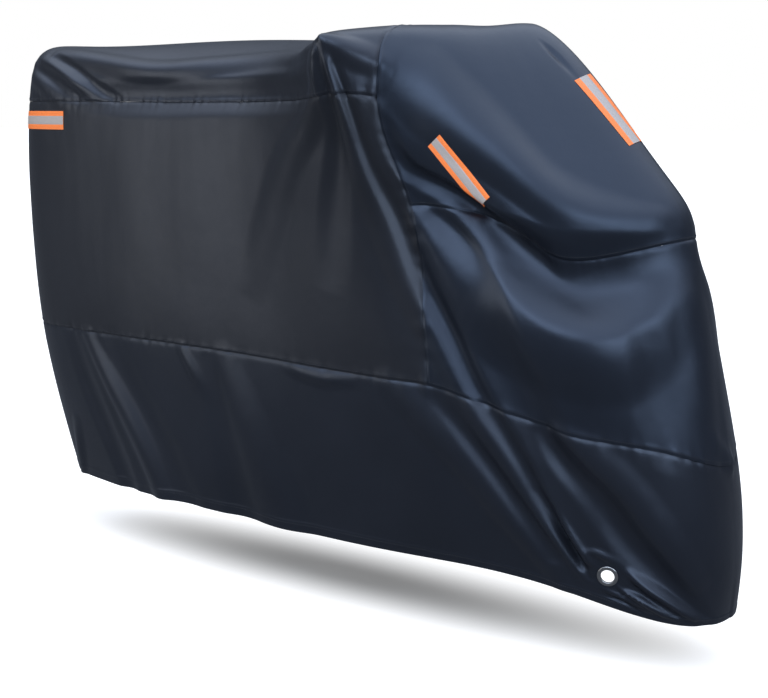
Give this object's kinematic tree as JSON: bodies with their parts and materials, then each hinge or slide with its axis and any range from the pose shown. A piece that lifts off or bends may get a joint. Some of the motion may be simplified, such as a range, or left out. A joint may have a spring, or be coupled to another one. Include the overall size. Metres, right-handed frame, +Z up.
{
  "type": "motorcycle cover",
  "caption": "Fitted dark cloth cover for a parked motorcycle: domed hood, flat roof, draped sides and gathered skirt, with lock eyelets in the front hem and reflective tape.",
  "frame": {"origin": "on the centre plane, at the underside of the roof over the saddle, where the machine carries the cover", "axes": "+X to the front of the machine, +Y to its left, +Z up"},
  "size_m": [2.0458, 0.8254, 1.2621],
  "materials": {
    "cloth_top": "satin coated polyester, near black",
    "cloth_side": "satin coated polyester, near black",
    "cloth_hood": "satin coated polyester, black with a navy cast",
    "cloth_front": "satin coated polyester, black with a navy cast",
    "cloth_skirt": "satin coated polyester, near black",
    "eyelet_metal": "plated, worn",
    "reflective_tape": "woven tape, orange edges and a silver middle"
  },
  "bodies": {
    "root": {"top_panel": "cloth_top", "side_panel": "cloth_side", "hood": "cloth_hood", "front_panel": "cloth_front", "skirt": "cloth_skirt", "front_skirt": "cloth_front", "lock_strip_right": "cloth_skirt", "lock_strip_left": "cloth_skirt", "eyelet_right": "eyelet_metal", "eyelet_left": "eyelet_metal", "tape_right": "reflective_tape", "tape_left": "reflective_tape", "tape_front": "reflective_tape", "tape_tail": "reflective_tape"}
  },
  "joints": []
}
